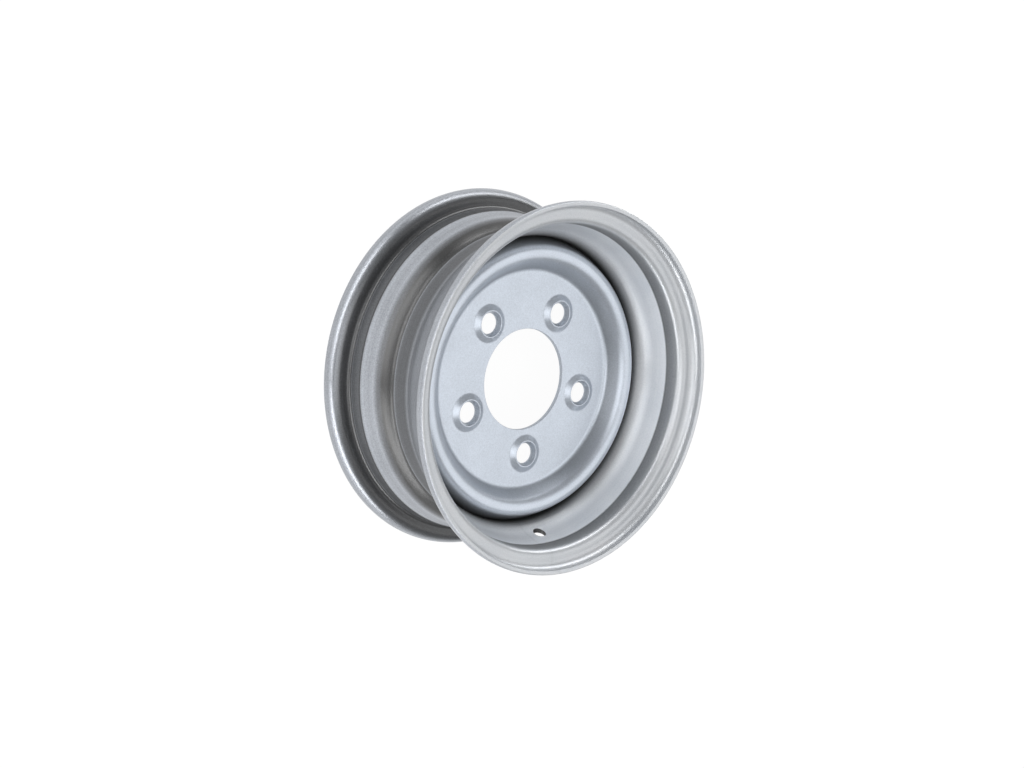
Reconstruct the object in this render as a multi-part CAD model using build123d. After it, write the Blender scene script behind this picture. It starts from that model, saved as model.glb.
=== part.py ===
"""A pressed steel wheel rim, 12 x 4.5 inch, with five stud holes.

The origin is the middle of the hub face, which is the disc's rear face, and +Z points
outboard along the wheel's axis. Sections are paths of (radius, height) points, held as
complex numbers, and are turned about the Z axis. All sizes are millimetres.
"""

from build123d import *
import cmath
import math
import os

# Rim, rolled from one strip. Heights here are measured from the rim's middle plane.
rim_gauge = 3.5
seat_diameter = 304.0
rim_width = 114.3
flange_height = 17.3
seat_width = 14.65
seat_angle = 5.0
well_depth = 16.0
well_width = 21.3
upper_slope_angle = 17.0
lower_slope_angle = 39.0
flange_bend = 7.7
flange_flat_count = 2
bead_bend = 3.7
bead_flat_count = 1
lip_drop_angle = 16.0
lip_tail = 1.15

# Valve hole, in the outboard slope.
valve_hole_diameter = 11.5
valve_hole_height = 27.0
valve_hole_angle = -81.8

# Disc, pressed from one blank. Heights here are measured from the hub face.
disc_gauge = 4.0
disc_offset = 2.0
bore_diameter = 94.0
dish_ring_width = 31.25
dish_wall_angle = 51.0
dish_depth = 15.0
floor_bend = 6.0
floor_flat_count = 1
crest_land = 2.6
shoulder_angle = 63.0
shoulder_bend = 8.0
shoulder_flat_count = 1
press_gap = 0.05
weld_clearance = 1.5

# Stud seats, raised bosses with a conical seat for the nut and a hollow behind.
stud_count = 5
stud_circle = 140.0
stud_start_angle = 133.75
stud_hole_diameter = 19.0
stud_hole_land = 1.7
seat_mouth_diameter = 23.4
seat_cone_angle = 60.0
boss_diameter = 35.7
boss_height = 3.5
boss_crest_land = 0.8
recess_diameter = 29.0

# Weld runs between the disc's flange and the well.
weld_count = 5
weld_span = 48.0
weld_leg = 3.5

rear_plane = -disc_offset


def rolled_path(corners):
    """Path through corners, each bend rolled over short flats that touch its arc.

    A corner is its point, its bend's radius on this face and how many flats the bend has.
    """
    points = [point for point, bend, flats in corners]
    path = []
    for index, (point, bend, flats) in enumerate(corners):
        if not flats:
            path.append(point)
            continue
        heading = (point - points[index - 1]) / abs(point - points[index - 1])
        turn = cmath.phase((points[index + 1] - point) / heading)
        step = turn / (flats + 1)
        half_flat = bend * math.tan(abs(step) / 2)
        point -= heading * (bend * math.tan(abs(turn) / 2) - half_flat)
        path.append(point)
        for _ in range(flats):
            heading *= cmath.rect(1, step)
            point += 2 * half_flat * heading
            path.append(point)
    return path


def offset_path(path, gauge):
    """The same path on the sheet's other face, gauge away on its right."""
    sides = [-1j * (end - start) / abs(end - start) for start, end in zip(path, path[1:])]
    moved = []
    for point, before, after in zip(path, sides[:1] + sides, sides + sides[-1:]):
        share = gauge / (1 + (before * after.conjugate()).real)
        moved.append(point + share * (before + after))
    return moved


def turned(outline, angle=360):
    """Solid of a closed outline turned about the Z axis."""
    section = Polyline(*[(point.real, point.imag) for point in outline], close=True)
    return revolve(make_face(Plane.XZ * section), Axis.Z, angle)


def sheet_ring(corners, gauge):
    """Ring of sheet metal of an even gauge, whose one face follows the corners."""
    path = rolled_path(corners)
    return turned(path + offset_path(path, gauge)[::-1])


def fall(angle, run):
    """Rise or fall of a line at an angle in degrees over a run."""
    return run * math.tan(math.radians(angle))


def well_radius():
    """Radius of the well's floor on the tyre side."""
    return seat_diameter / 2 - well_depth


def seat_crease():
    """Corner between the bead seat and the slope, on the tyre side."""
    return complex(seat_diameter / 2 - fall(seat_angle, seat_width), rim_width / 2 - seat_width)


def slope_corner():
    """Corner between the two slopes, where the steep one from the well meets the other."""
    steep = fall(lower_slope_angle, 1)
    gentle = fall(upper_slope_angle, 1)
    well = complex(well_radius(), well_width / 2)
    crease = seat_crease()
    run = (crease.real - well.real - gentle * (crease.imag - well.imag)) / (steep - gentle)
    return well + complex(steep * run, run)


def flange_corners():
    """Lip end and flange corner, with the lip curled over past square by its drop angle."""
    bend = flange_bend + rim_gauge
    turn = 90 + lip_drop_angle
    half_step = math.radians(turn / (flange_flat_count + 1) / 2)
    drop = math.radians(lip_drop_angle)
    crown = bend * math.cos(half_step - drop) / math.cos(half_step)
    tangent = fall(turn / 2, bend)
    centre = seat_diameter / 2 + flange_height - crown
    corner = complex(centre + tangent, rim_width / 2)
    lip_end = corner + cmath.rect(tangent + lip_tail, math.radians(turn))
    return [(lip_end, 0, 0), (corner, bend, flange_flat_count)]


def rim_corners():
    """Tyre-side corners of the rim from its outboard lip to the well."""
    seat = complex(seat_diameter / 2, rim_width / 2)
    well = complex(well_radius(), well_width / 2)
    return [
        *flange_corners(),
        (seat, bead_bend, bead_flat_count),
        (seat_crease(), 0, 0),
        (slope_corner(), 0, 0),
        (well, 0, 0),
    ]


def valve_drill():
    """Drill square to the outboard slope, at the valve hole."""
    slope = math.radians(upper_slope_angle)
    crease = seat_crease()
    radius = crease.real - fall(upper_slope_angle, crease.imag - valve_hole_height)
    start = Plane(
        origin=(radius, 0, valve_hole_height + rear_plane),
        z_dir=(math.cos(slope), 0, -math.sin(slope)),
    )
    drill = start * Cylinder(valve_hole_diameter / 2, 4 * rim_gauge)
    return Rot(0, 0, valve_hole_angle) * drill


def make_rim():
    """The rolled strip turned about the axis, with its valve hole."""
    outboard = rim_corners()
    inboard = [(point.conjugate(), bend, flats) for point, bend, flats in outboard[::-1]]
    middle = complex(0, rear_plane)
    corners = [(point + middle, bend, flats) for point, bend, flats in outboard + inboard]
    return sheet_ring(corners, rim_gauge) - valve_drill()


def well_inside_radius():
    """Radius of the well's inner wall, where the disc is pressed in."""
    return well_radius() - rim_gauge


def disc_edge_height():
    """Height of the disc's rear edge, with room behind it for the weld inside the well."""
    mitre = fall(lower_slope_angle / 2, rim_gauge)
    return rear_plane - well_width / 2 - mitre + weld_leg + weld_clearance


def disc_corners():
    """Front corners of the disc from its bore to the edge of its flange."""
    flange_radius = well_inside_radius() - press_gap
    floor = complex(flange_radius - dish_ring_width, disc_gauge)
    wall_run = dish_depth / fall(dish_wall_angle, 1)
    crest_height = disc_gauge + dish_depth
    bend = shoulder_bend + disc_gauge
    shoulder_start = floor.real + wall_run + crest_land
    shoulder = complex(shoulder_start + fall(shoulder_angle / 2, bend), crest_height)
    flange_start = crest_height - fall(shoulder_angle, flange_radius - shoulder.real)
    return [
        (complex(bore_diameter / 2, disc_gauge), 0, 0),
        (floor, floor_bend, floor_flat_count),
        (complex(floor.real + wall_run, crest_height), 0, 0),
        (shoulder, bend, shoulder_flat_count),
        (complex(flange_radius, flange_start), 0, 0),
        (complex(flange_radius, disc_edge_height()), 0, 0),
    ]


def stud_seat():
    """Front swelling of one stud seat, standing on the mounting face."""
    foot = boss_diameter / 2
    crest = disc_gauge + boss_height
    crest_radius = seat_mouth_diameter / 2 + boss_crest_land
    root = disc_gauge / 2
    return turned([
        complex(0, root), complex(foot, root), complex(foot, disc_gauge),
        complex(crest_radius, crest), complex(0, crest),
    ])


def stud_drill():
    """Stud hole with its conical seat in front and the pressed hollow behind."""
    hole = stud_hole_diameter / 2
    mouth = seat_mouth_diameter / 2
    recess = recess_diameter / 2
    crest = disc_gauge + boss_height
    seat_bottom = crest - (mouth - hole) / fall(seat_cone_angle / 2, 1)
    through = disc_gauge
    return turned([
        complex(0, -through), complex(recess, -through), complex(recess, 0),
        complex(hole, seat_bottom - stud_hole_land), complex(hole, seat_bottom),
        complex(mouth, crest), complex(mouth, crest + through), complex(0, crest + through),
    ])


def make_disc():
    """The pressed disc with its raised stud seats."""
    places = PolarLocations(stud_circle / 2, stud_count, start_angle=stud_start_angle)
    body = sheet_ring(disc_corners(), disc_gauge)
    body += [place * stud_seat() for place in places]
    return body - [place * stud_drill() for place in places]


def make_weld():
    """Separate fillet runs behind the disc's flange, between its edge and the well."""
    wall = well_inside_radius()
    top = disc_edge_height()
    outline = [complex(wall, top), complex(wall - weld_leg, top), complex(wall, top - weld_leg)]
    run = turned(outline, weld_span)
    step = 360 / weld_count
    first = stud_start_angle + (step - weld_span) / 2
    return Compound([Rot(0, 0, first + step * index) * run for index in range(weld_count)])


os.makedirs("parts", exist_ok=True)
parts = {"rim": make_rim(), "disc": make_disc(), "disc_weld": make_weld()}
for name, part in parts.items():
    export_step(part, f"parts/{name}.step")
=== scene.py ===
# %% [markdown]
# # A pressed steel wheel rim
#
# The wheel is two pressings of sheet steel and a weld. The rim is one strip rolled round,
# with a deep well in its middle, two seats for the tyre's beads and two curled flanges. The
# disc is pressed from one blank and sits in the well. Both are sprayed with silver paint.
# Sizes are written in millimetres, and MM turns them into the metres that Blender works in.
# The origin is the middle of the hub face, and +Z points outboard along the wheel's axis.

# %% Load the frame
import math
import bpy
import bmesh
from mathutils import Matrix, Vector


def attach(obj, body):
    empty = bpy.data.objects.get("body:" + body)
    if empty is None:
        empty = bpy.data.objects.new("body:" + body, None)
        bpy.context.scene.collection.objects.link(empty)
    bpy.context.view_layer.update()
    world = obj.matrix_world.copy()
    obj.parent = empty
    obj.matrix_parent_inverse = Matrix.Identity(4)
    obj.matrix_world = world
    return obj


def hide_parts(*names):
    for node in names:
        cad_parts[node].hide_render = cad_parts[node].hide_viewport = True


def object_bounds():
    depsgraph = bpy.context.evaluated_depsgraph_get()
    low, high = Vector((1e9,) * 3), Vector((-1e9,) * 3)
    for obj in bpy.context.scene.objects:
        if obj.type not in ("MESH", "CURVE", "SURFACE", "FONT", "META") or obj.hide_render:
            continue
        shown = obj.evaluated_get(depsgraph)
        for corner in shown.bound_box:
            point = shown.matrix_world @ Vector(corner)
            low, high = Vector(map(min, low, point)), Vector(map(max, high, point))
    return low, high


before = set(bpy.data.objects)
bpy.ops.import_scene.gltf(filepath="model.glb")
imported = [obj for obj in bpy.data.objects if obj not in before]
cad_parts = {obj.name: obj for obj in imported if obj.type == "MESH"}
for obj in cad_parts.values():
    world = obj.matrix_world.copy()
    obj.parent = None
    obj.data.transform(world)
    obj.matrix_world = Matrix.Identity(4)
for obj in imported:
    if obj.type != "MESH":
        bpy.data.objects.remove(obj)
cad_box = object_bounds()
MM = 0.001
print("CAD box", [[round(v / MM, 1) for v in corner] for corner in cad_box])

# %% [markdown]
# ## The view
#
# A long lens, a little under two metres away, looks down on the wheel, which lies on its
# rear flange. The camera is rolled about its own line of sight, so that the wheel seems to
# stand upright in the picture. Its place is found from the wheel as the lens sees it: the
# axle's turn and tilt, and where the centre of the front lip lies, in units of the flange's
# radius. Turning that round gives the camera's place and the three axes that it looks along.

# %% Set the camera
OUTBOARD_TURN = math.radians(41.54)
OUTBOARD_TILT = math.radians(13.64)
FLANGE_RADIUS = 169.3 * MM
LIP_HEIGHT = 66.55 * MM
LIP_CENTRE = Vector((0.3028, 0.0320, 10.117)) * FLANGE_RADIUS
FOCAL_PIXELS = 1915
PICTURE_WIDTH = 1024
SENSOR_WIDTH = 36

axis_seen = Vector((
    math.sin(OUTBOARD_TURN) * math.cos(OUTBOARD_TILT),
    math.sin(OUTBOARD_TURN) * math.sin(OUTBOARD_TILT),
    -math.cos(OUTBOARD_TURN),
))
side_seen = axis_seen.cross(Vector((0, 1, 0))).normalized()
top_seen = axis_seen.cross(side_seen)
to_wheel = Matrix((side_seen, top_seen, axis_seen))
camera_place = to_wheel @ -LIP_CENTRE + Vector((0, 0, LIP_HEIGHT))
camera_turn = to_wheel @ Matrix.Diagonal((1, -1, -1))

camera_data = bpy.data.cameras.new("studio_camera")
camera_data.sensor_width = SENSOR_WIDTH
camera_data.lens = SENSOR_WIDTH * FOCAL_PIXELS / PICTURE_WIDTH
camera = bpy.data.objects.new("studio_camera", camera_data)
bpy.context.scene.collection.objects.link(camera)
camera.matrix_world = Matrix.Translation(camera_place) @ camera_turn.to_4x4()
bpy.context.scene.camera = camera
bpy.context.scene.view_settings.view_transform = "Standard"
print("Camera at", [round(v, 3) for v in camera_place], "lens", round(camera_data.lens, 1))

# %% [markdown]
# ## A section drawn with a pen
#
# Sheet metal is straight runs joined by round bends. A sharp section with a bevel would do,
# but each bend has one radius on one face and another on the other face, and a bevel would
# need both matched by hand. So the section is drawn as the real strip is shaped: a small
# plane is merged to one point, and the point is extruded for each run and spun about the
# bend's centre for each bend. A short step at both ends of a long run keeps the flat next to
# a bend from being shaded as part of it.

# %% A pen for sections
BEND_STEP = math.radians(8)
LONGEST_CHORD = 2.6 * MM
EDGE_STEP = 0.5 * MM
LONG_RUN = 4 * EDGE_STEP
SAME_POINT = 0.004 * MM


def let_go():
    """Leaves edit mode with nothing selected."""
    if bpy.context.object and bpy.context.object.mode != "OBJECT":
        bpy.ops.object.mode_set(mode="OBJECT")
    bpy.ops.object.select_all(action="DESELECT")


class Pen:
    """Draws a section in the XZ plane as straight runs and round bends."""

    def __init__(self, name, radius, height, heading):
        self.x, self.z = radius * MM, height * MM
        self.heading = math.radians(heading)
        let_go()
        bpy.ops.mesh.primitive_plane_add(size=MM, location=(self.x, 0, self.z))
        bpy.ops.object.transform_apply(location=True, rotation=True, scale=True)
        self.piece = bpy.context.object
        self.piece.name = self.piece.data.name = name
        bpy.ops.object.mode_set(mode="EDIT")
        bpy.ops.mesh.select_all(action="SELECT")
        bpy.ops.mesh.merge(type="CENTER")

    def stroke(self, length):
        """One straight edge along the heading, in metres."""
        step = (length * math.cos(self.heading), 0, length * math.sin(self.heading))
        bpy.ops.mesh.extrude_region_move(TRANSFORM_OT_translate={"value": step})
        self.x += step[0]
        self.z += step[2]

    def run(self, length):
        """A straight run in mm, with a short step at both ends when it is long."""
        length *= MM
        if length < LONG_RUN:
            parts = [length]
        else:
            parts = [EDGE_STEP, length - 2 * EDGE_STEP, EDGE_STEP]
        for part in parts:
            if part > SAME_POINT:
                self.stroke(part)

    def bend(self, radius, turn):
        """A round bend, to the left when its turn in degrees is positive."""
        radius *= MM
        turn = math.radians(turn)
        side = math.copysign(radius, turn)
        centre = (self.x - side * math.sin(self.heading), 0,
                  self.z + side * math.cos(self.heading))
        steps = max(2, math.ceil(abs(turn) / BEND_STEP),
                    math.ceil(abs(turn) * radius / LONGEST_CHORD))
        bpy.ops.mesh.spin(steps=steps, angle=turn, center=centre, axis=(0, 1, 0))
        self.heading += turn
        self.x = centre[0] + side * math.sin(self.heading)
        self.z = centre[2] - side * math.cos(self.heading)

    def follow(self, strokes):
        """Runs and bends one after another."""
        for length, radius, turn in strokes:
            self.run(length)
            if turn:
                self.bend(radius, turn)

    def lift(self):
        """Merges the section's doubles and hands over its piece."""
        bpy.ops.mesh.select_all(action="SELECT")
        bpy.ops.mesh.remove_doubles(threshold=SAME_POINT)
        return self.piece


def strokes_through(corners):
    """Runs and bends of a path: for each corner its radius, height and bend radius."""
    points = [Vector((radius, height)) for radius, height, bend in corners]
    strokes = []
    used = 0
    for index in range(1, len(points)):
        leg = points[index] - points[index - 1]
        turn = reach = 0
        if index < len(points) - 1:
            after = points[index + 1] - points[index]
            turn = math.atan2(leg.cross(after), leg.dot(after))
            reach = corners[index][2] * math.tan(abs(turn) / 2)
        strokes.append((leg.length - used - reach, corners[index][2], math.degrees(turn)))
        used = reach
    return strokes


def other_face(strokes, gauge, side):
    """The way back along the sheet's other face, on the left (1) or the right (-1)."""
    lengths = [length for length, bend, turn in strokes]
    bends = [(bend - math.copysign(gauge, side * turn), -turn)
             for length, bend, turn in strokes[:-1]]
    back = [(length, *bend) for length, bend in zip(lengths[:0:-1], bends[::-1])]
    return back + [(lengths[0], 0, 0)]


print("Bends turn", round(math.degrees(BEND_STEP), 1), "degrees or less at a step")

# %% [markdown]
# ## Turning a section
#
# A rolled ring is its section spun once round the axle. A screw modifier would do the same,
# but spin leaves a plain mesh that the next steps can cut and fill. It leaves a seam where it
# closes, and it can turn the faces inside out, so the doubles are merged and the normals are
# worked out again every time. What repeats round the wheel is made once, copied at its angle
# and joined.

# %% Spin a section round an axis
WHEEL_STEPS = 192
SHARP_ANGLE = 35


def select_where(test, mode):
    """Selects the edges or faces of the edited mesh that pass a test, and counts them."""
    bpy.ops.mesh.select_mode(type=mode)
    bpy.ops.mesh.select_all(action="DESELECT")
    mesh = bmesh.from_edit_mesh(bpy.context.object.data)
    chosen = [item for item in {"EDGE": mesh.edges, "FACE": mesh.faces}[mode] if test(item)]
    for item in chosen:
        item.select_set(True)
    mesh.select_flush_mode()
    bmesh.update_edit_mesh(bpy.context.object.data)
    return len(chosen)


def spin_closed(centre=(0, 0, 0), steps=WHEEL_STEPS):
    """Spins the edited section once round a line along Z, and cleans the mesh."""
    bpy.ops.mesh.select_all(action="SELECT")
    bpy.ops.mesh.spin(steps=steps, angle=math.tau, center=centre, axis=(0, 0, 1))
    tidy_mesh()


def tidy_mesh():
    """Merges doubles and turns all faces outwards."""
    bpy.ops.mesh.select_all(action="SELECT")
    bpy.ops.mesh.remove_doubles(threshold=SAME_POINT)
    bpy.ops.mesh.normals_make_consistent(inside=False)


def smooth(piece, angle=SHARP_ANGLE):
    """Back to object mode, shaded smooth but for edges sharper than an angle."""
    let_go()
    bpy.context.view_layer.objects.active = piece
    piece.select_set(True)
    bpy.ops.object.shade_smooth_by_angle(angle=math.radians(angle))


def turned_copy(piece, degrees):
    """A copy of a piece with a mesh of its own, turned about the axle."""
    copy = piece.copy()
    copy.data = piece.data.copy()
    bpy.context.scene.collection.objects.link(copy)
    copy.rotation_euler.z = math.radians(degrees)
    return copy


def join(pieces, into):
    """Joins pieces into one of them, which ends untransformed."""
    let_go()
    for piece in pieces:
        piece.select_set(True)
    bpy.context.view_layer.objects.active = into
    bpy.ops.object.join()
    bpy.ops.object.transform_apply(location=True, rotation=True, scale=True)


def count(piece):
    """Triangles of a piece, for the log."""
    return sum(len(face.vertices) - 2 for face in piece.data.polygons)


flange_step = math.tau * FLANGE_RADIUS / WHEEL_STEPS
print("A ring has", WHEEL_STEPS, "steps,", round(flange_step / MM, 2), "mm at the flange")

# %% [markdown]
# ## The rolled rim
#
# On the real wheel, rollers press one flat strip into this shape, so its thickness is even
# everywhere. The tyre side is given by its corners, each with its radius, its height from the
# middle plane and the radius of its bend, from the middle of the well to the outboard lip:
# the steep slope out of the well, the gentle one, the hard crease at the seat, the seat's
# 5 degree taper, the bead's fillet, the flange's face, and the crown that curls over past
# square. The other face is the same path one gauge away, so tight bends open up on one side
# and wide ones close on the other. Half the section is drawn, and the other half is its
# mirror image.

# %% Draw half the rim's section
RIM_GAUGE = 3.5
RIM_MIDDLE = -2.0
LIP_DROP = 16.0
LIP_BEND = 8.0
LIP_TAIL = 1.82
LIP_EDGE_ROUND = 1.0
LIP_BACK_ROUND = 0.4
SEAT_CREASE = (150.72, 42.5)
rim_corners = [
    (136.0, 0.0, 0),  # middle of the well
    (136.0, 10.64, 10.0),  # foot of the steep slope
    (143.97, 20.48, 45.0),  # steep slope to gentle slope
    (*SEAT_CREASE, 4.5),  # gentle slope to seat
    (152.0, 57.15, 3.7),  # seat to flange
    (169.3, 57.15, 11.2),  # flange to crown
    (169.3, 68.55, 0),  # crown to lip
]
tyre_side = strokes_through(rim_corners)
tyre_side[-1] = (tyre_side[-1][0], LIP_BEND, LIP_DROP)
tyre_side.append((LIP_TAIL - LIP_EDGE_ROUND, 0, 0))
cap = RIM_GAUGE - LIP_EDGE_ROUND - LIP_BACK_ROUND

pen = Pen("rolled_rim", rim_corners[0][0], RIM_MIDDLE, 90)
pen.follow(tyre_side)
pen.bend(LIP_EDGE_ROUND, 90)
pen.run(cap)
pen.bend(LIP_BACK_ROUND, 90)
axle_side = other_face(tyre_side, RIM_GAUGE, 1)
axle_side[0] = (axle_side[0][0] + LIP_EDGE_ROUND - LIP_BACK_ROUND, *axle_side[0][1:])
pen.follow(axle_side)
rim = pen.lift()
print("Half section ends at radius", round(pen.x / MM, 3), "height", round(pen.z / MM, 3))

# %% [markdown]
# The half is doubled in edit mode: a copy is scaled by -1 along Z about the rim's middle
# plane, its ends meet the first half's ends, and the merge makes one closed outline.

# %% Mirror the section and spin it
middle = (0, 0, RIM_MIDDLE * MM)
bpy.ops.mesh.duplicate()
bpy.ops.transform.resize(value=(1, 1, -1), center_override=middle)
bpy.ops.mesh.select_all(action="SELECT")
bpy.ops.mesh.remove_doubles(threshold=SAME_POINT)
print("Section points", len(bmesh.from_edit_mesh(rim.data).verts))
spin_closed()
let_go()
print("Rim triangles", count(rim))

# %% [markdown]
# ## The valve hole
#
# The hole is punched through the gentle slope once the strip has been rolled, by a tool that
# moves straight at the axle, and so its wall points there. The cutter is a cylinder that is
# added in place and turned that way. The cut is exact, so the wall keeps the crisp edge of a
# punched hole.

# %% Drill the valve hole
VALVE_RADIUS = 5.75
VALVE_HEIGHT = 27.0
VALVE_ANGLE = math.radians(-81.8)
SLOPE = math.radians(17.0)
DRILL_LENGTH = 16.0
DRILL_SIDES = 48
slope_radius = SEAT_CREASE[0] - (SEAT_CREASE[1] - VALVE_HEIGHT) * math.tan(SLOPE)
wheel_turn = Matrix.Rotation(VALVE_ANGLE, 4, "Z")
drill_way = wheel_turn @ Vector((1, 0, 0))
drill_middle = wheel_turn @ Vector((slope_radius, 0, VALVE_HEIGHT + RIM_MIDDLE)) * MM
drill_turn = drill_way.to_track_quat("Z", "Y").to_euler()
let_go()
bpy.ops.mesh.primitive_cylinder_add(
    vertices=DRILL_SIDES, radius=VALVE_RADIUS * MM, depth=DRILL_LENGTH * MM,
    location=drill_middle, rotation=drill_turn)
drill = bpy.context.object
bpy.context.view_layer.objects.active = rim
cut = rim.modifiers.new("valve_hole", "BOOLEAN")
cut.operation = "DIFFERENCE"
cut.solver = "EXACT"
cut.object = drill
bpy.ops.object.modifier_apply(modifier=cut.name)
bpy.data.objects.remove(drill)
smooth(rim)
print("Rim triangles with the hole", count(rim))

# %% [markdown]
# ## The disc's dished ring
#
# The disc is pressed in one go. Its outer ring is turned all round, so it is drawn like the
# rim, from corners with a radius, a height and a bend: the front face runs out from the flat,
# up the dish's wall, over the crest and shoulder and down the flange that sits in the well,
# and comes back one gauge behind. The flat in the middle has five stud seats that are not
# turned about the axle, so it is left open here and filled later.

# %% Draw and spin the ring
DISC_GAUGE = 4.0
FLAT_EDGE = 97.2
DISC_REAR = -8.9
EDGE_ROUND = 0.6
disc_corners = [
    (FLAT_EDGE, DISC_GAUGE, 0),  # edge of the flat
    (101.2, DISC_GAUGE, 6.0),  # foot of the dish's wall
    (113.0, 19.0, 12.4),  # wall to crest
    (123.66, 19.0, 7.4),  # crest to shoulder
    (132.45, 1.75, 10.0),  # shoulder to flange
    (132.45, DISC_REAR, 0),  # rear edge
]
front_face = strokes_through(disc_corners)
length, bend, turn = front_face[-1]
front_face[-1] = (length - EDGE_ROUND, bend, turn)
pen = Pen("pressed_disc", FLAT_EDGE, DISC_GAUGE, 0)
pen.follow(front_face)
pen.bend(EDGE_ROUND, -90)
pen.run(DISC_GAUGE - 2 * EDGE_ROUND)
pen.bend(EDGE_ROUND, -90)
pen.follow(other_face(front_face, DISC_GAUGE, -1))
disc = pen.piece
print("Ring ends at radius", round(pen.x / MM, 3), "height", round(pen.z / MM, 3))
spin_closed()
let_go()
print("Ring triangles", count(disc))

# %% [markdown]
# ## The stud seats
#
# Each stud hole has a swelling round it, pressed up from behind, with a cone that centres
# the nut. One is drawn as a section, from its front foot over the crest, down the cone and
# the hole, to the hollow behind, and spun about the stud's own line. Then it is copied round
# the wheel. Its foot is a narrow flat collar, which the mounting face is filled up to.

# %% Draw one stud seat and copy it round
STUD_CIRCLE_RADIUS = 70.0
STUD_COUNT = 5
FIRST_STUD = 133.75
SEAT_STEPS = 64
SEAT_CREST = 7.5
STUD_HOLE_RADIUS = 9.5
FOOT_COLLAR = 20.2
REAR_COLLAR = 16.4
seat_corners = [
    (FOOT_COLLAR, DISC_GAUGE, 0),  # front collar
    (17.85, DISC_GAUGE, 4.0),  # foot of the swelling
    (12.5, SEAT_CREST, 1.2),  # crest
    (11.7, SEAT_CREST, 0.6),  # mouth of the cone
    (STUD_HOLE_RADIUS, 3.69, 0.15),  # cone to hole
    (STUD_HOLE_RADIUS, 1.99, 0.3),  # hole to hollow
    (14.5, 0.0, 2.0),  # edge of the hollow
    (REAR_COLLAR, 0.0, 0),  # rear collar
]
pen = Pen("stud_seat", STUD_CIRCLE_RADIUS + FOOT_COLLAR, DISC_GAUGE, 180)
pen.follow(strokes_through(seat_corners))
seat = pen.piece
spin_closed(centre=(STUD_CIRCLE_RADIUS * MM, 0, 0), steps=SEAT_STEPS)
let_go()
seats = [turned_copy(seat, FIRST_STUD + 360 / STUD_COUNT * number)
         for number in range(STUD_COUNT)]
bpy.data.objects.remove(seat)
print("Stud seats", len(seats))

# %% [markdown]
# ## The mounting face
#
# The hub passes through the centre bore, which is a short spun wall with rounded edges.
# Ring, seats and bore are joined to one mesh, and the open edges that lie at the height of
# the front face are filled to one flat sheet with holes. Cutting the holes out of a plate
# would leave uneven faces round them; this way every hole keeps its own ring of even faces.
# The rear face is filled in the same way, which closes the disc.

# %% Join the pieces and fill both faces
BORE_RADIUS = 47.0
BORE_ROUND = 0.5
BORE_COLLAR = 48.4
bore_corners = [
    (BORE_COLLAR, DISC_GAUGE, 0), (BORE_RADIUS, DISC_GAUGE, BORE_ROUND),
    (BORE_RADIUS, 0.0, BORE_ROUND), (BORE_COLLAR, 0.0, 0),
]
pen = Pen("centre_bore", BORE_COLLAR, DISC_GAUGE, 180)
pen.follow(strokes_through(bore_corners))
bore = pen.piece
spin_closed()
join([*seats, bore, disc], disc)
bpy.ops.object.mode_set(mode="EDIT")
for height in (DISC_GAUGE * MM, 0.0):
    edges = select_where(
        lambda edge: edge.is_boundary
        and all(abs(vert.co.z - height) < SAME_POINT for vert in edge.verts), "EDGE")
    bpy.ops.mesh.fill(use_beauty=True)
    print("Open edges filled at height", round(height / MM, 2), ":", edges)
tidy_mesh()
open_edges = select_where(lambda edge: not edge.is_manifold, "EDGE")
smooth(disc)
print("Disc triangles", count(disc), "open edges", open_edges)

# %% [markdown]
# ## The weld
#
# Five runs of weld behind the disc's flange hold it in the well. A weld bead is a row of
# small overlapping puddles that froze one after another. One puddle is a ball flattened to a
# lens and trimmed by the two walls that it fills the corner of. It is copied along each run,
# so that the bead shows its ripples, where a swept strip would look as smooth as plastic.

# %% Model one puddle
WELD_TOP = DISC_REAR
WELD_LEG = 3.5
WELL_INSIDE = 132.5
WELD_RUNS = 5
WELD_SPAN = 48.0
PUDDLE_LENGTH = 3.4
PUDDLES = 52
PUDDLE_SHARP_ANGLE = 50

let_go()
bpy.ops.mesh.primitive_uv_sphere_add(segments=16, ring_count=10, radius=1)
puddle = bpy.context.object
bpy.ops.object.mode_set(mode="EDIT")
bpy.ops.transform.resize(value=(WELD_LEG * MM, PUDDLE_LENGTH / 2 * MM, WELD_LEG * MM))
bpy.ops.transform.translate(value=(WELL_INSIDE * MM, 0, WELD_TOP * MM))
walls = (
    ((WELL_INSIDE * MM, 0, 0), (1, 0, 0)),
    ((0, 0, WELD_TOP * MM), (0, 0, 1)),
)
for point, normal in walls:
    bpy.ops.mesh.select_all(action="SELECT")
    bpy.ops.mesh.bisect(plane_co=point, plane_no=normal, use_fill=True, clear_outer=True)
tidy_mesh()
smooth(puddle, PUDDLE_SHARP_ANGLE)
print("One puddle has", count(puddle), "triangles")

# %% [markdown]
# The runs lie between the stud seats, as far from the bolts as they can be. Each puddle is
# turned about the axle to its share of the run, and then all are joined to one piece.

# %% Copy the puddle along the runs
run_pitch = 360 / WELD_RUNS
puddles = []
for run in range(WELD_RUNS):
    start = FIRST_STUD + run_pitch * run + (run_pitch - WELD_SPAN) / 2
    for number in range(PUDDLES):
        share = (number + 0.5) / PUDDLES
        puddles.append(turned_copy(puddle, start + WELD_SPAN * share))
weld = puddles[0]
join(puddles, weld)
weld.name = weld.data.name = "weld_bead"
bpy.data.objects.remove(puddle)
print("Weld triangles", count(weld))

# %% [markdown]
# ## Writing a material as sums
#
# Each pattern on the paint is a sum or a product of numbers that change over the surface.
# A small class wraps a socket, so that such a pattern is written as a plain expression, and
# each operator adds the Math node that it stands for. The reflected operators let a plain
# number stand first.

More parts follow.
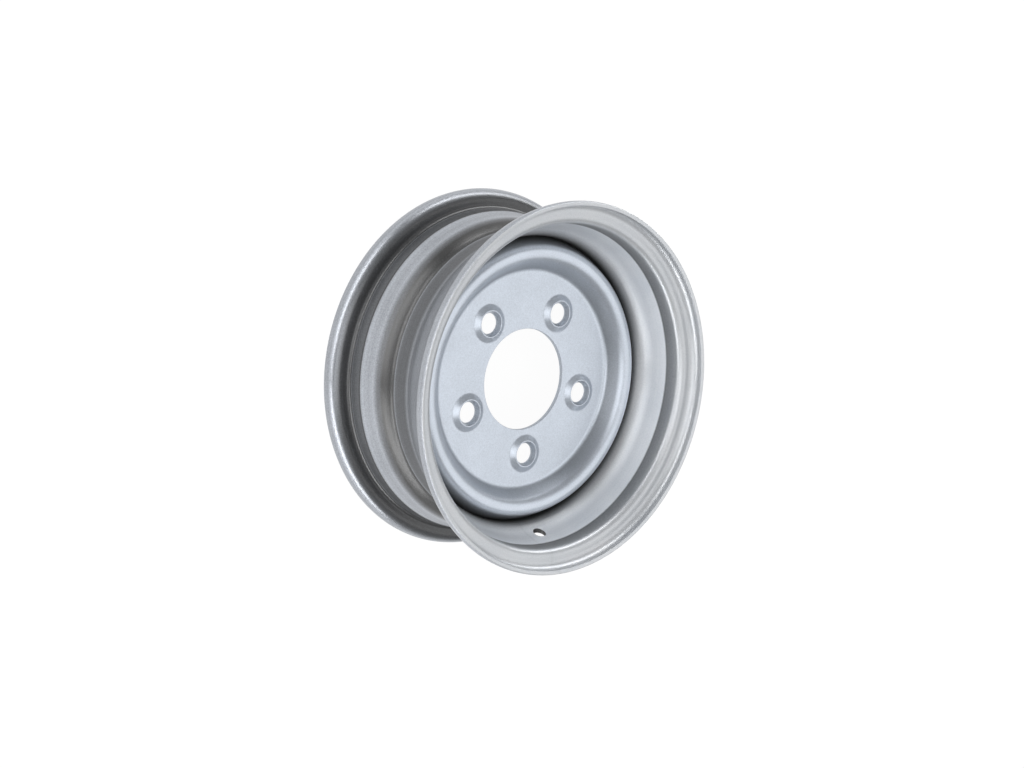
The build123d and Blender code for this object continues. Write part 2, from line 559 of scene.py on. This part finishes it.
# %% A value in a material
class Value:
    """One output socket, which can be added, multiplied and compared."""

    def __init__(self, finish, socket):
        self.finish = finish
        self.socket = socket

    def math(self, operation, *others):
        """Any operation of the Math node, with this value as its first input."""
        return self.finish.node("ShaderNodeMath", {"operation": operation}, [self, *others])

    def __add__(self, other):
        return self.math("ADD", other)

    def __sub__(self, other):
        return self.math("SUBTRACT", other)

    def __mul__(self, other):
        return self.math("MULTIPLY", other)

    def __rsub__(self, other):
        return self.finish.node("ShaderNodeMath", {"operation": "SUBTRACT"}, [other, self])

    __radd__ = __add__
    __rmul__ = __mul__

    def band(self, centre, width):
        """1 at a value, falling to 0 at half a width on both sides."""
        return (1 - (self - centre).math("ABSOLUTE") * (2 / width)).math("MAXIMUM", 0)


print("A value knows", [name for name in vars(Value) if callable(getattr(Value, name))])

# %% [markdown]
# A material starts with its Principled shader. One method adds every other node, sets what
# it is told and plugs in what it is given. The rest are short names for the nodes that the
# paints use often: colours are mixed by a Mix node, and a number that follows stops is a
# Color Ramp of greys.

# %% A material and its nodes
MEASURES = ("LENGTH", "DOT_PRODUCT")


class Finish:
    """A material whose nodes are added by one method."""

    def __init__(self, name):
        self.material = bpy.data.materials.new(name)
        self.material.use_nodes = True
        self.tree = self.material.node_tree
        self.shader = self.tree.nodes["Principled BSDF"]

    def plug(self, socket, value):
        """Links a value to an input socket, or sets a constant on it."""
        if isinstance(value, Value):
            self.tree.links.new(value.socket, socket)
        else:
            socket.default_value = value

    def node(self, kind, settings=(), inputs=(), output=0):
        """Adds a node, whose inputs are a list in their order or a dict by their names."""
        made = self.tree.nodes.new(kind)
        for name, value in dict(settings).items():
            setattr(made, name, value)
        pairs = inputs.items() if isinstance(inputs, dict) else enumerate(inputs)
        for name, value in pairs:
            self.plug(made.inputs[name], value)
        return Value(self, made.outputs[output])

    def feed(self, name, value):
        """Plugs a value or a constant into the shader."""
        self.plug(self.shader.inputs[name], value)

    def vector(self, operation, *vectors):
        """A vector, or the number that an operation measures on vectors."""
        return self.node("ShaderNodeVectorMath", {"operation": operation}, vectors,
                         output=int(operation in MEASURES))

    def noise(self, place, scale, detail=2.0):
        """A noise that swings about 0."""
        return self.node("ShaderNodeTexNoise", {},
                         {"Vector": place, "Scale": scale, "Detail": detail}) - 0.5

    def ramp(self, share, stops):
        """A number that follows stops of place and level along a share from 0 to 1."""
        made = self.node("ShaderNodeValToRGB", {}, [share])
        colours = made.socket.node.color_ramp.elements
        for place, level in stops[2:]:
            colours.new(place)
        for stop, (place, level) in zip(colours, stops):
            stop.position = place
            stop.color = (level, level, level, 1)
        return made

    def blend(self, share, first, second):
        """The first colour where the share is 0, the second where it is 1."""
        return self.node("ShaderNodeMix", {"data_type": "RGBA"},
                         {0: share, 6: first, 7: second}, output=2)


print("A finish knows", [name for name in vars(Finish) if callable(getattr(Finish, name))])

# %% [markdown]
# ## Silver wheel paint
#
# Silver paint holds fine metal flakes in a clear binder, so it is partly a metal and partly
# not. Seen close, it has a fine grain of lighter and darker specks, slow patches where the
# gun passed twice, and a faint orange peel. The rollers that shaped the rim left faint rings
# under it. A plain grey would look like plastic. Grain, patches and rings are noises at three
# scales on the Object coordinates, which are metres on a piece that sits at the origin; the
# rings come from a noise that changes along the axle only. Where the cover is low, the dark
# primer's colour is blended in. The cover comes from a function that each part has of its
# own: on the rim and the disc it is painted light and shade, on the weld an uneven coat.

# %% Flakes, patches and rings over primer
DARK_PRIMER = 0.06
SHADE_SPREAD = 0.28
SPECK_SCALE = 850
PATCH_SCALE = 26
RING_SCALE = 420
FINE_DETAIL = 3.0
PATCH_STRENGTH = 0.4
SPECKS_IN_COVER = 0.15
SPECKS_IN_ROUGHNESS = 0.10
PATCHES_IN_ROUGHNESS = 0.05
RINGS_IN_BUMP = 0.6
BUMP_STRENGTH = 0.5


def shaded(shade, factor):
    """A shade made lighter or darker, as a full colour."""
    return [min(1, level * factor) for level in shade] + [1]


def silver_paint(name, shade, grain, metal, rough, peel, coat, rolled=0.0):
    """Paint that covers the primer as its coat says, with a peel in mm and rolled rings."""
    paint = Finish(name)
    place = paint.node("ShaderNodeTexCoord", output="Object")
    specks = paint.noise(place, SPECK_SCALE, FINE_DETAIL)
    patches = paint.noise(place, PATCH_SCALE, FINE_DETAIL)
    along_axle = paint.vector("MULTIPLY", place, (0, 0, 1))
    rings = paint.noise(along_axle, RING_SCALE, FINE_DETAIL) * rolled

    share = 0.5 + specks * grain + patches * PATCH_STRENGTH + rings
    silver = paint.blend(share.math("MINIMUM", 1),
                         shaded(shade, 1 - SHADE_SPREAD), shaded(shade, 1 + SHADE_SPREAD))
    # The cover blends in dark primer; on the rim and the disc it is painted light and shade.
    cover = coat(paint, place) + specks * SPECKS_IN_COVER
    paint.feed("Base Color", paint.blend(cover, shaded([DARK_PRIMER] * 3, 1), silver))
    paint.feed("Roughness",
               rough + specks * SPECKS_IN_ROUGHNESS + patches * PATCHES_IN_ROUGHNESS)
    paint.feed("Metallic", metal)
    paint.feed("Normal", paint.node("ShaderNodeBump", {}, {
        "Height": specks + rings * RINGS_IN_BUMP, "Strength": BUMP_STRENGTH,
        "Distance": peel * MM}))
    print(name, "has", len(paint.tree.nodes), "nodes")
    return paint


# %% [markdown]
# ## The coat over the rim, with painted light and shade
#
# The rim's bands of light and shade are painted into its cover. The slopes get a full pale
# cover, as painted light, and the well, the crease and the seats get a thin one, where the
# dark primer shows as painted shade. So the cover is a ramp over the height from the rim's
# middle plane. It could be painted by hand, but a ramp of heights goes round the whole wheel
# evenly.
#
# The wall of the valve hole is painted dark, as painted shade inside the hole. It is what lies
# near the drill's line: the cross product of the way from the hole's middle and the drill's
# direction is as long as the distance from that line. The strip is welded end to end, and the
# ground seam shows as a faint line across it, on one side of the axle.

# %% Cover by height as painted light and shade, less the painted dark hole wall and the seam
LIP_REACH = 70.0
HOLE_EDGE = (5.8, 6.1)
HOLE_SPAN = 10.0
HOLE_REACH = 20.0
SEAM_ANGLE = math.radians(-88.0)
SEAM_WIDTH = 5.0
SEAM_LEAN = 0.05
SEAM_DEPTH = 0.08
SEAM_WAY = (math.cos(SEAM_ANGLE), math.sin(SEAM_ANGLE), 0)
SEAM_SIDE = (-math.sin(SEAM_ANGLE), math.cos(SEAM_ANGLE), 0)


def off_painted_hole_shade(paint, place):
    """0 on the valve hole's wall and edge, which are painted dark as shade, 1 elsewhere."""
    from_hole = paint.vector("SUBTRACT", place, drill_middle)
    off_line = paint.vector("LENGTH", paint.vector("CROSS_PRODUCT", from_hole, drill_way))
    # Painted shade: the hole's wall and edge get no silver, so they read as a dark hole.
    edge = paint.ramp(off_line * (1 / (HOLE_SPAN * MM)),
                      [(radius / HOLE_SPAN, level) for level, radius in enumerate(HOLE_EDGE)])
    far = paint.vector("LENGTH", from_hole).math("GREATER_THAN", HOLE_REACH * MM)
    return edge.math("MAXIMUM", far)


def seam(paint, place, height):
    """1 along the middle of the strip's joint, 0 beside it."""
    beside = paint.vector("DOT_PRODUCT", place, SEAM_SIDE) - height * SEAM_LEAN
    ahead = paint.vector("DOT_PRODUCT", place, SEAM_WAY).math("GREATER_THAN", 0)
    return beside.band(0, SEAM_WIDTH * MM) * ahead


def rim_painted_light_shade_and_seam(stops):
    """Cover that follows stops of height from the rim's middle plane, in mm, as painted light
    and shade.
    """
    def cover(paint, place):
        height = paint.node("ShaderNodeSeparateXYZ", {}, [place], output="Z")
        from_rear = (height - (RIM_MIDDLE - LIP_REACH) * MM) * (1 / (2 * LIP_REACH * MM))
        # The ramp is painted light and shade: thin cover where shade falls, full cover where
        # light falls.
        painted_light_and_shade = paint.ramp(
            from_rear, [((mm / LIP_REACH + 1) / 2, level) for mm, level in stops])
        thinned = 1 - seam(paint, place, height) * SEAM_DEPTH
        return off_painted_hole_shade(paint, place) * thinned * painted_light_and_shade
    return cover


print("The coat is given from", -LIP_REACH, "to", LIP_REACH, "mm from the middle plane")

# %% [markdown]
# The outboard side is painted pale, as painted light. Its cover drops to nothing in the
# crevice beside the disc, as painted shade, is full on the slope, as painted light, is thin
# just past the crease, as painted shade, and rises and falls over the flange and the curled
# lip, as painted bands of light and shade.

# %% Paint on the rim's outboard side
# Pale shade and cover stops below: painted light and painted shade.
front_paint = silver_paint(
    "rim_front_paint", (0.795, 0.87, 0.965), grain=0.3, metal=0.56, rough=0.38, peel=0.02,
    rolled=0.3, coat=rim_painted_light_shade_and_seam([
        (-70, 0.9), (-55, 0.62), (-44, 0.34), (-41, 0.9), (-25, 0.9), (-16, 0.5),
        (-8, 0.30), (0, 0.10), (8, 0.02), (12, 0.22), (16, 0.54), (21, 0.92), (24, 1.0),
        (41.8, 1.0), (42.9, 0.18), (44.5, 0.26), (50, 0.31), (55, 0.43), (57.5, 0.68),
        (60, 0.54), (64, 0.64), (67.5, 0.45), (70, 0.60)]))

# %% [markdown]
# The tyre's side is painted darker, as painted shade, and its grain is coarser and the
# rollers' rings show. Its cover drops to dark primer in the well's bends, beside the creases
# and under both flanges, as painted shade, and is full on the slopes, with thin bright lines
# at the creases, as painted light and painted highlights.

# %% Paint on the tyre's side
# Dark shade and cover stops below: painted shade, with painted light on the slopes.
tyre_paint = silver_paint(
    "rim_tyre_side_paint", (0.385, 0.405, 0.44), grain=1.3, metal=0.70, rough=0.32, peel=0.12,
    rolled=1.0, coat=rim_painted_light_shade_and_seam([
        (-64, 0.9), (-60.5, 0.60), (-57.4, 0.05), (-54.2, 0.06), (-53.4, 0.80),
        (-52.6, 0.36), (-43.8, 0.26), (-42.9, 0.05), (-42.2, 0.03), (-41.5, 0.85),
        (-39, 1.0), (-33, 0.78), (-29, 1.0), (-24.5, 0.30), (-20, 0.0), (-10.8, 0.02),
        (-10.0, 0.60), (-9.2, 0.26), (4, 0.20), (7, 0.55), (11, 0.95), (41.5, 0.9),
        (42.4, 0.10), (43.8, 0.36), (53, 0.44), (55, 0.25), (58, 0.40), (62, 0.95)]))

# %% [markdown]
# ## The coat over the disc, with painted shade
#
# The disc's flat and its crest are covered fully. The steep wall of the dish is darkened, as
# painted shade, and the shoulder's flank behind the crest runs down into dark primer, as
# painted shade in the crevice. As the disc is turned round the axle, its cover is a ramp over
# the radius.

# %% Paint on the disc
DISC_SPAN = 140.0
DISC_SHADE_STOPS = [(101, 0.95), (103, 0.58), (108, 0.72), (112, 0.90), (115, 1.0), (122, 1.0),
              (127, 0.40), (131, 0.06)]


def disc_painted_shade(paint, place):
    """Cover that follows stops of radius, in mm, with painted shade on the wall and the flank.
    """
    radius = paint.vector("LENGTH", paint.vector("MULTIPLY", place, (1, 1, 0)))
    # Painted shade: the dish's wall and the shoulder's flank are darkened by lower cover.
    return paint.ramp(radius * (1 / (DISC_SPAN * MM)),
                      [(mm / DISC_SPAN, level) for mm, level in DISC_SHADE_STOPS])


disc_paint = silver_paint(
    "disc_paint", (0.53, 0.575, 0.64), grain=0.6, metal=0.62, rough=0.35, peel=0.05,
    coat=disc_painted_shade)

# %% [markdown]
# The weld is painted over with the rest. It lies on the disc's far side, so its coat is a
# little uneven all over, and its puddles are rougher than sheet steel.

# %% Paint on the weld
BLOTCH_SCALE = 60
BLOTCH_STRENGTH = 0.5
WELD_COVER = 0.9


def even_coat(paint, place):
    """A cover that is nearly full everywhere."""
    return paint.noise(place, BLOTCH_SCALE) * BLOTCH_STRENGTH + WELD_COVER


weld_paint = silver_paint(
    "weld_paint", (0.50, 0.51, 0.52), grain=1.0, metal=0.3, rough=0.40, peel=0.2,
    coat=even_coat)

# %% [markdown]
# ## Dressing the wheel
#
# Each new piece stands for the solid of the same shape, which is hidden, takes paints of its
# own and rides on the one body. The rim carries two materials, for its two sides.

# %% Put the pieces on the body
dressed = (
    (rim, "rim", "rim_steel", (front_paint, tyre_paint)),
    (disc, "disc", "disc_steel", (disc_paint,)),
    (weld, "disc_weld", "weld_steel", (weld_paint,)),
)
for piece, node, slot, paints in dressed:
    piece.data.materials.clear()
    for paint in paints:
        piece.data.materials.append(paint.material)
    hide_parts(node)
    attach(piece, "root")
    print(piece.name, "stands for", node)

# %% [markdown]
# The tyre's side is found by the faces' normals: they look away from the axle, or towards the
# rim's middle plane. That needs no list of faces, and it holds when the section changes.

# %% Give the tyre's side its own paint
def faces_the_tyre(face):
    """Whether a face of the rim looks away from the axle more than it looks off the middle."""
    centre = face.calc_center_median()
    out = centre.xy.normalized().dot(face.normal.xy)
    side = math.copysign(1, centre.z - RIM_MIDDLE * MM)
    return out > side * face.normal.z


let_go()
bpy.context.view_layer.objects.active = rim
rim.select_set(True)
bpy.ops.object.mode_set(mode="EDIT")
found = select_where(faces_the_tyre, "FACE")
rim.active_material_index = 1
bpy.ops.object.material_slot_assign()
let_go()
print("Faces on the tyre's side", found)

# %% [markdown]
# ## The studio
#
# The floor is a large sheet under the rear flange. The lens and the mirror-like rays see it
# as nearly pure white, because most of what they get is light of its own. The small rest is
# a pale sheet that is lit by the lamps and keeps the wheel's soft shadow. All other rays meet
# a dark grey sheet, so the floor lights the wheel's underside only a little.

# %% Floor
FLOOR_SIZE = 8
FLOOR_GAP = 0.1
FLOOR_GREY = 0.25
FLOOR_PALE = 0.8
WHITE_LIGHT = 1.04
WHITE_SHARE = 0.92

let_go()
bpy.ops.mesh.primitive_grid_add(size=FLOOR_SIZE, x_subdivisions=2, y_subdivisions=2)
floor = bpy.context.object
floor.name = "floor"
bpy.ops.object.mode_set(mode="EDIT")
bpy.ops.transform.translate(value=(0, 0, cad_box[0][2] - FLOOR_GAP * MM))
let_go()
sheet = Finish("floor_sheet")
seen = sheet.node("ShaderNodeLightPath", output="Is Camera Ray")
for ray in ("Is Glossy Ray", "Is Transmission Ray"):
    seen = seen.math("MAXIMUM", sheet.node("ShaderNodeLightPath", output=ray))
sheet.feed("Base Color", sheet.blend(
    seen, shaded([FLOOR_GREY] * 3, 1), shaded([FLOOR_PALE] * 3, 1)))
sheet.feed("Roughness", 0.9)
sheet.feed("Specular IOR Level", 0.0)
white = sheet.node("ShaderNodeEmission", {}, {"Color": (1, 1, 1, 1), "Strength": WHITE_LIGHT})
lit = Value(sheet, sheet.shader.outputs[0])
shown = sheet.node("ShaderNodeMixShader", {}, [seen * WHITE_SHARE, lit, white])
sheet.plug(sheet.tree.nodes["Material Output"].inputs["Surface"], shown)
floor.data.materials.append(sheet.material)
print("Floor at height", round((cad_box[0][2] - FLOOR_GAP * MM) / MM, 2))

# %% [markdown]
# Broad lamps give the soft bands that silver paint shows. The key lamp and the one over the
# wheel light the faces that look outboard. The slope inside the rim looks at the axle, so
# three long low lamps graze it from across the wheel, just above the front lip. A lamp is
# placed by the direction that it shines from, and is turned to face the wheel.

# %% Lamps
def softbox(name, way, distance, size, watts):
    """A rectangular lamp at a distance in metres, turned to the wheel."""
    lamp_data = bpy.data.lights.new(name, "AREA")
    lamp_data.shape = "RECTANGLE"
    lamp_data.size, lamp_data.size_y = size
    lamp_data.energy = watts
    lamp = bpy.data.objects.new(name, lamp_data)
    bpy.context.scene.collection.objects.link(lamp)
    lamp.location = Vector(way).normalized() * distance
    lamp.rotation_euler = lamp.location.to_track_quat("Z", "Y").to_euler()
    print(name, watts, "W at", [round(v, 2) for v in lamp.location])


softbox("lamp_key", (0.55, -0.10, 0.83), 2.0, (2.4, 2.4), 21)
softbox("lamp_over", (-0.50, -0.03, 0.86), 2.0, (1.6, 1.6), 17)
softbox("lamp_low_left", (-0.88, 0.46, 0.15), 1.3, (1.8, 0.32), 10)
softbox("lamp_low_near", (-0.60, -0.77, 0.15), 1.3, (1.8, 0.32), 13)
softbox("lamp_low_far", (0.45, 0.80, 0.17), 1.3, (1.6, 0.32), 10)

# %% [markdown]
# A white studio also sends a little light from everywhere, which keeps the shadows soft. The
# world gives it, at under a third of full strength, so that the bands stay clear.

# %% World
WORLD_LIGHT = 0.30
world = bpy.data.worlds.new("studio")
bpy.context.scene.world = world
world.use_nodes = True
background = world.node_tree.nodes["Background"]
background.inputs["Color"].default_value = (1, 1, 1, 1)
background.inputs["Strength"].default_value = WORLD_LIGHT
print("World strength", WORLD_LIGHT)

# %% [markdown]
# ## The size
#
# The box round the dressed wheel should be the CAD's own box, which is found at the start.
